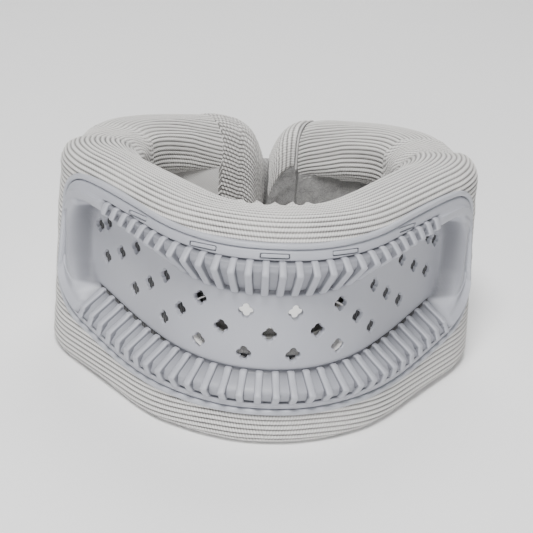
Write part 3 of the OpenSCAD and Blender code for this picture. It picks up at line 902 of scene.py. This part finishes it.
half_angle = np.linspace(0, math.radians(84), 30)
half_q = np.concatenate([np.linspace(0, END_START - 0.02, 100),
                         END_START + (SHELL_END - END_START) * np.sin(half_angle)])
shell_q = np.concatenate([-half_q[:0:-1], half_q])
front_part, back_part = shell_section(shell_q)
panel_cols = []
for k in range(front_part.shape[1] - 1):
    a, b = front_part[:, k], front_part[:, k + 1]
    panel_cols.append(a)
    gap_size = float(np.abs(b[len(b) // 2] - a[len(a) // 2]).max())
    for j in range(1, int(gap_size / 2.4) + 1):
        t = j / (int(gap_size / 2.4) + 1)
        panel_cols.append(a * (1 - t) + b * t)
panel_cols.append(front_part[:, -1])
profile = np.concatenate([np.stack(panel_cols, 1), back_part], 1)
origin, out, run = local_frame(shell_q)
shell_grid = origin[:, None] + out[:, None] * profile[..., :1] + UP * profile[..., 1:2]
shell_n = shell_grid.shape[1]
shell_weave = profile[..., [0, 1, 2]]
body_mesh = build("shell_body", seat(shell_grid), grid_faces(len(shell_q), shell_n, True, (True, True)), SHELL,
                  shell_weave)


def cutter_grid(q, z, levels, outline):
    """A tapered punch through the panel: outline gives local (along, up) points for a growth."""
    o, n, r = (v[0] for v in local_frame(np.array([q])))
    return np.array([o + n * d + r[None] * outline(g)[:, :1] + UP * (z + outline(g)[:, 1:]) for d, g in levels])


def clover(grow):
    """Four round lobes."""
    t = np.arange(64) / 64 * 2 * math.pi
    near = (t + math.pi / 4) % (math.pi / 2) - math.pi / 4
    lobe = 1.36 + grow
    r = 1.45 * np.cos(near) + np.sqrt(lobe ** 2 - (1.45 * np.sin(near)) ** 2)
    return np.stack([r * np.cos(t), r * np.sin(t)], 1)


def slot_shape(half_w, half_h):
    """Rounded rectangle."""
    def outline(grow):
        t = np.arange(20) / 20 * 2 * math.pi
        c, s = np.cos(t), np.sin(t)
        return np.stack([(half_w + grow) * np.sign(c) * np.abs(c) ** 0.25,
                         (half_h + grow) * np.sign(s) * np.abs(s) ** 0.25], 1)
    return outline


punches = []
for v in (-1, 0, 1):
    for u in range(-10, 11):
        if abs(u + v) % 2 == 0 and (v == 0 or abs(u) < 10):
            reach = np.sign(u) * min(abs(u), 9.55)
            q = float(at_length(reach * VENT_PITCH))
            z = min(v * VENT_ROW + VENT_CLIMB * (u / 10) ** 2, 23.4 if abs(u) == 9 else 21.0)
            s = float(sunk(np.array(q))) - 0.2
            grid = cutter_grid(q, z, [(-s - 6, 0), (-s - 0.45, 0), (-s + 0.25, 0.42), (-s + 2.4, 0.5)], clover)
            punches.append((grid, grid_faces(4, 64, True, (True, True), flip=True)))
CLIPS = [-56, -25, 0, 25, 56]
for s_at in CLIPS:
    q = float(at_length(s_at))
    z = float(lip_up(np.array(q))) - 2.3
    grid = cutter_grid(q, z, [(-1.0, 0), (4.0, 0.05)], slot_shape(5.6, 1.15))
    punches.append((grid, grid_faces(2, 20, True, (True, True), flip=True)))
punch_verts, punch_faces = join(punches)
punch = build("punch", seat(punch_verts), punch_faces, SHELL)
cut = body_mesh.modifiers.new("vents", "BOOLEAN")
cut.operation, cut.object, cut.solver = "DIFFERENCE", punch, "EXACT"
bpy.context.view_layer.update()
graph = bpy.context.evaluated_depsgraph_get()
cut_mesh = bpy.data.meshes.new_from_object(body_mesh.evaluated_get(graph), preserve_all_data_layers=True,
                                           depsgraph=graph)
body_mesh.modifiers.clear()
body_mesh.data = cut_mesh
bpy.data.objects.remove(punch)
# the painted shade goes over to the cut mesh from the nearest grid point
tree = kdtree.KDTree(shell_grid.shape[0] * shell_n)
for index, point in enumerate(seat(shell_grid).reshape(-1, 3)):
    tree.insert(point, index)
tree.balance()
shell_shade = shell_weave.reshape(-1, 3)
cut_shade = np.array([shell_shade[tree.find(v.co)[1]] for v in cut_mesh.vertices], np.float32)
if "weave" in cut_mesh.attributes:
    cut_mesh.attributes.remove(cut_mesh.attributes["weave"])
layer = cut_mesh.attributes.new("weave", "FLOAT_VECTOR", "POINT")
layer.data.foreach_set("vector", cut_shade.reshape(-1))
cut_mesh.polygons.foreach_set("use_smooth", [True] * len(cut_mesh.polygons))
cut_mesh.set_sharp_from_angle(angle=math.radians(38))
cut_mesh.materials.clear()
cut_mesh.materials.append(SHELL)
cut_mesh.polygons.foreach_set("material_index", [0] * len(cut_mesh.polygons))
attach(body_mesh, "front")
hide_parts("front_shell")


def rib_bar(q, upper):
    """One rounded rib that crosses a ridge."""
    qa = np.array([q])
    u, l, s, r, f = (float(v[0]) for v in (lip_up(qa), lip_dn(qa), sunk(qa), ridge(qa), flared(qa) * 0.6))
    h = (u - l) / 64
    k = 5.5 * float(smooth(0.3, 1.5, abs(q)))
    if upper:
        path = np.array([[0.6, u - 4.0 * h], [2.3, u - 4.1 * h], [2.9, u - 4.6 * h], [r + 1.2, u - 7.6 * h],
                         [r + 1.1, u - 9.0 * h], [2.6 - s, u - (18.0 - k) * h], [1.5 - s, u - (19.2 - k) * h],
                         [-0.6 - s, u - (19.3 - k) * h]])
    else:
        path = np.array([[0.4 + f, l + 2.7 * h], [2.5 + f, l + 2.8 * h], [3.0 + f, l + 3.4 * h], [r + 1.1, l + 6.6 * h],
                         [r + 1.2, l + 8.0 * h], [2.2 - s, l + 12.9 * h], [1.2 - s, l + 14.0 * h],
                         [-0.6 - s, l + 14.1 * h]])
    for _ in range(2):
        cut = np.stack([path[:-1] * 0.75 + path[1:] * 0.25, path[:-1] * 0.25 + path[1:] * 0.75], 1).reshape(-1, 2)
        path = np.concatenate([path[:1], cut, path[-1:]])
    x = np.array([-1.5, -1.48, -1.32, -1.0, -0.5, 0.5, 1.0, 1.32, 1.48, 1.5])
    drop = np.array([3.6, 1.0, 0.42, 0.12, 0.0, 0.0, 0.12, 0.42, 1.0, 3.6])
    o, n, along = (v[0] for v in local_frame(qa))
    normal = np.stack([-np.gradient(path[:, 1]), np.gradient(path[:, 0])], 1)
    normal /= np.linalg.norm(normal, axis=1, keepdims=True)
    if normal[len(normal) // 2, 0] < 0:
        normal = -normal
    at = path[:, None] - normal[:, None] * drop[None, :, None] * 0.8
    pts = o + n * at[..., :1] + UP * at[..., 1:] + along * x[None, :, None]
    # painted shade down the rib's sides
    shade = 0.75 * smooth(0.3, 1.2, drop)[None, :] + 0 * at[..., 0]
    return pts, grid_faces(len(path), len(x), flip=upper), shade


bars = []
for m in (-1, 1):
    for i in range(UPPER_RIBS):
        bars.append(rib_bar(float(at_length(m * (i + 0.5) * UPPER_PITCH)), True))
    for i in range(LOWER_RIBS):
        bars.append(rib_bar(float(at_length(m * (i + 0.5) * LOWER_PITCH)), False))
bar_verts, bar_faces = join([bar[:2] for bar in bars])
bar_shade = np.concatenate([bar[2].reshape(-1) for bar in bars])
bar_weave = np.stack([0 * bar_shade, 0 * bar_shade, bar_shade], -1)
bars_piece = build("shell_ribs", seat(bar_verts), bar_faces, SHELL, bar_weave, sharp=60)
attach(bars_piece, "front")

# rim that follows the shell's outline, a hair away from it
top_q = np.linspace(0, END_START, 150)
turn = np.linspace(0, math.pi / 2, 40)[1:]
end_q_path = END_START + (SHELL_END - END_START) * np.sin(turn)
upper_q = np.concatenate([top_q, end_q_path])
upper_z = np.concatenate([lip_up(top_q), LIP_TOP + 6 - 14 * (1 - np.cos(turn))])
lower_z = np.concatenate([lip_dn(top_q), (-LIP_LOW + 3 + 13 * smooth(1, 2.5, end_q_path)) + 14 * (1 - np.cos(turn))])
straight = np.linspace(0, 1, 12)[1:-1]
right_q = np.concatenate([upper_q, np.full(10, upper_q[-1]), upper_q[::-1]])
right_z = np.concatenate([upper_z, upper_z[-1] + (lower_z[-1] - upper_z[-1]) * straight, lower_z[::-1]])
right_f = np.concatenate([0 * upper_q, straight, 1 + 0 * upper_q]) * flared(right_q) * 0.6
path_q = np.concatenate([right_q, -right_q[-2:0:-1]])
path_z = np.concatenate([right_z, right_z[-2:0:-1]])
path_f = np.concatenate([right_f, right_f[-2:0:-1]])
o, n, _ = local_frame(path_q)
path = o + n * path_f[:, None] + UP * path_z[:, None]
d = np.concatenate([[0], np.cumsum(np.linalg.norm(np.diff(np.concatenate([path, path[:1]]), axis=0), axis=1))])
even_at = np.linspace(0, d[-1], 900, endpoint=False)
closed = np.concatenate([path, path[:1]])
closed_n = np.concatenate([n, n[:1]])
path = np.stack([np.interp(even_at, d, closed[:, k]) for k in range(3)], 1)
n = np.stack([np.interp(even_at, d, closed_n[:, k]) for k in range(3)], 1)
n /= np.linalg.norm(n, axis=1, keepdims=True)
for _ in range(3):
    path = (np.roll(path, 1, 0) + path * 2 + np.roll(path, -1, 0)) / 4
t = np.roll(path, -1, 0) - np.roll(path, 1, 0)
t /= np.linalg.norm(t, axis=1, keepdims=True)
b = np.cross(n, t)
b /= np.linalg.norm(b, axis=1, keepdims=True)
if np.sum(b[0] * UP) < 0:
    b = -b
phi = np.arange(18) / 18 * 2 * math.pi
cs, sn = np.cos(phi), np.sin(phi)
across = 1.35 + 1.12 * np.sign(cs) * np.abs(cs) ** 0.62
proud = -0.1 + 1.45 * np.sign(sn) * np.abs(sn) ** 0.62
rim = path[:, None] + b[:, None] * across[None, :, None] + n[:, None] * proud[None, :, None]
rim = np.concatenate([rim, rim[:1]])
rim_piece = build("shell_rim", seat(rim), grid_faces(len(rim), 18, True, flip=True), RIM)
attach(rim_piece, "front")
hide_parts("shell_bezel")

tabs = []
for s_at in CLIPS:
    q = float(at_length(s_at))
    z = float(lip_up(np.array(q))) - 2.3
    shape = slot_shape(5.15, 0.78)
    grid = cutter_grid(q, z, [(-1.6, -0.1), (0.55, 0.0), (0.95, -0.12), (1.05, -0.5)], shape)
    tabs.append((grid, grid_faces(4, 20, True, (True, True), flip=True)))
tab_verts, tab_faces = join(tabs)
tab_piece = build("shell_tabs", seat(tab_verts), tab_faces, TAB, sharp=50)
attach(tab_piece, "front")
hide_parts("shell_clips")

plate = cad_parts["inner_frame"]
plate.data.materials.clear()
plate.data.materials.append(PLATE)


# ---- closure -------------------------------------------------------------------------------------
def band(name, q, w0, w1, height, finish, body, node, slot_name, rows=40, seam=True, round_ends=0.0):
    """A flat strap along the outside of the arms, with soft edges and, when seam is set, a row of stitches near each
    long edge.
    """
    t = thick(q)
    v = np.linspace(-1, 1, rows)
    h = height / 2 * np.ones(len(q))
    if round_ends:
        s = np.linspace(0, 1, len(q))
        h = h - round_ends * (1 - np.sqrt(1 - np.clip((0.12 - np.minimum(s, 1 - s)) / 0.12, 0, 1) ** 2))
    z = STRAP_MID + h[:, None] * v[None, :]
    edge = np.sqrt(np.clip(1 - np.abs(v) ** 14, 0, 1))[None, :]
    mid_w, half_w = (w0 + w1) / 2, (w1 - w0) / 2
    puckers = 0.05 * np.sin(2 * math.pi * np.arange(len(q)) / 5)[:, None] * (np.abs(v) > 0.85)
    front = place(q[:, None], t[:, None] + mid_w + half_w * edge + puckers, z)
    back = place(q[:, None], t[:, None] + mid_w - half_w * edge, z)
    grid = np.concatenate([front, back[:, ::-1]], 1)
    weave = np.stack([lengths_of(grid, 0), lengths_of(grid, 1), 0 * grid[..., 0]], -1)
    faces = grid_faces(len(q), rows * 2, True, (True, True), flip=True)
    piece = build(name, seat(grid), faces, finish, weave, sharp=50)
    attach(piece, body)
    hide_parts(node)
    made = []
    if seam:
        n = seat(outward(q) * 1.0) - seat(np.zeros_like(q)[:, None] * np.zeros(3))
        n = n / np.linalg.norm(n, axis=1, keepdims=True)
        k = 3
        for row in (k, rows - 1 - k):
            made.append(stitches(seat(front[2:-2, row]), n[2:-2]))
        sv, sf = join(made)
        thread = build(name + "_stitching", sv, sf, THREAD)
        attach(thread, body)
    return piece


strap_q = np.concatenate([np.linspace(3.97, 4.99, 70), -np.linspace(4.99, STRAP_ROOT + 0.006, 40)])
band("loop_field", np.linspace(3.5, 4.9, 90), 0.1, 1.15, STRAP_H + 8, DARK_VELVET,
     "right_arm", "right_loop_field", "velvet", round_ends=4)
band("strap_root_pad", -np.linspace(3.98, STRAP_ROOT - 0.02, 24), 0.2, 2.35, STRAP_H - 6, HOOK,
     "left_arm", "strap_anchor", "hook", seam=False)
band("strap_root", -np.linspace(3.92, STRAP_ROOT - 0.006, 40), 2.4, 4.3, STRAP_H, WEBBING,
     "left_arm", "strap_base", "webbing")
band("closing_strap", strap_q, 2.5, 4.3, STRAP_H, WEBBING, "strap", "closure_strap", "webbing")
band("hook_pad", np.linspace(4.02, 4.62, 40), 1.4, 2.45, STRAP_H - 6, HOOK, "strap", "hook_patch", "hook", seam=False)
band("strap_grip", np.linspace(3.85, 3.96, 16), 1.7, 4.6, STRAP_H - 8, WEBBING,
     "strap", "strap_tip", "webbing", round_ends=3)

# ---- seams ---------------------------------------------------------------------------------------
bead_cols = np.linspace(strip_in - 6, strip_out, 80)
bead_path = read_grid(end_rings[:3], np.array([1.0]), bead_cols)[0]
bead_out = bead_path - end_rings[1].mean(0)
bead_path = bead_path + bead_out / np.linalg.norm(bead_out, axis=1, keepdims=True) * 0.5
bv, bf = tube(seat(bead_path), 0.00045, 8)
bead = build("right_end_binding", bv, bf, THREAD)
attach(bead, "right_arm")

edge_path = seat(right_panel_grid[4:-2, -6])
edge_out = -(seat(outward(np.linspace(3.16, CUFF, 90))[4:-2]) - seat(np.zeros(3)))
edge_out = edge_out / np.linalg.norm(edge_out, axis=1, keepdims=True)
sv, sf = stitches(edge_path, edge_out, 1.6, 1.0, 0.22)
panel_thread = build("right_panel_stitching", sv, sf, THREAD)
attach(panel_thread, "right_arm")

# ---- room, light, camera -------------------------------------------------------------------------
floor_mat = Finish("floor_paper", (0.93, 0.93, 0.93), 0.9)
floor_mat.feed("Roughness", 0.85 + floor_mat.noise(30.0) * 0.1)
half = 3.0
arc = np.linspace(0, math.pi / 2, 24)
curve_up = [(1.2 + 0.8 * math.sin(a), 0.8 - 0.8 * math.cos(a)) for a in arc[1:]]
sweep = np.array([(-half, 0.0), (1.2, 0.0)] + curve_up + [(2.0, 3.0)])
xs = np.linspace(-half, half, 12)
floor_grid = np.stack(np.broadcast_arrays(xs[None, :], sweep[:, :1], sweep[:, 1:]), -1)
floor = build("paper_sweep", floor_grid, grid_faces(len(sweep), 12), floor_mat.material)
floor.location.z = -0.0002

world = bpy.data.worlds.new("studio")
bpy.context.scene.world = world
world.use_nodes = True
world.node_tree.nodes["Background"].inputs["Color"].default_value = (0.97, 0.98, 1.0, 1)
world.node_tree.nodes["Background"].inputs["Strength"].default_value = 0.12


def softbox(name, at, towards, size, watts, colour=(1, 1, 1)):
    lamp = bpy.data.lights.new(name, "AREA")
    lamp.shape, lamp.size, lamp.energy, lamp.color = "DISK", size, watts, colour
    lamp_object = bpy.data.objects.new(name, lamp)
    lamp_object.location = at
    lamp_object.rotation_euler = (Vector(towards) - Vector(at)).to_track_quat("-Z", "Y").to_euler()
    bpy.context.scene.collection.objects.link(lamp_object)


softbox("key", (-0.15, -0.5, 1.25), (0, 0, 0.04), 0.5, 24.0, (1.0, 0.995, 0.985))
softbox("front", (-0.1, -1.3, 0.5), (0, 0, 0.05), 0.5, 9.0, (0.985, 0.99, 1.0))
softbox("back", (0.1, 0.7, 1.0), (0, 0, 0.04), 0.6, 6.0)

ELEVATION, YAW, ROLL = math.radians(20.25), math.radians(2.61), math.radians(3.36)
upright = np.array([[1, 0, 0], [0, COS, SIN], [0, -SIN, COS]])
look = np.array([math.sin(YAW) * math.cos(ELEVATION), math.cos(YAW) * math.cos(ELEVATION), -math.sin(ELEVATION)])
level = np.array([math.cos(YAW), -math.sin(YAW), 0.0])
over = np.cross(level, look)
right_dir = level * math.cos(ROLL) + over * math.sin(ROLL)
up_dir = over * math.cos(ROLL) - level * math.sin(ROLL)
axes = upright @ np.stack([right_dir, up_dir, -look], 1)
camera = bpy.data.cameras.new("camera")
camera.sensor_width = 36.0
camera.lens = 36.0 * 1500 / 533
camera_object = bpy.data.objects.new("camera", camera)
place_at = seat(np.array([-26.15, -515.46, 217.48]))
turned = Matrix(axes.tolist()).to_4x4()
turned.translation = Vector(place_at)
camera_object.matrix_world = turned
bpy.context.scene.collection.objects.link(camera_object)
bpy.context.scene.camera = camera_object
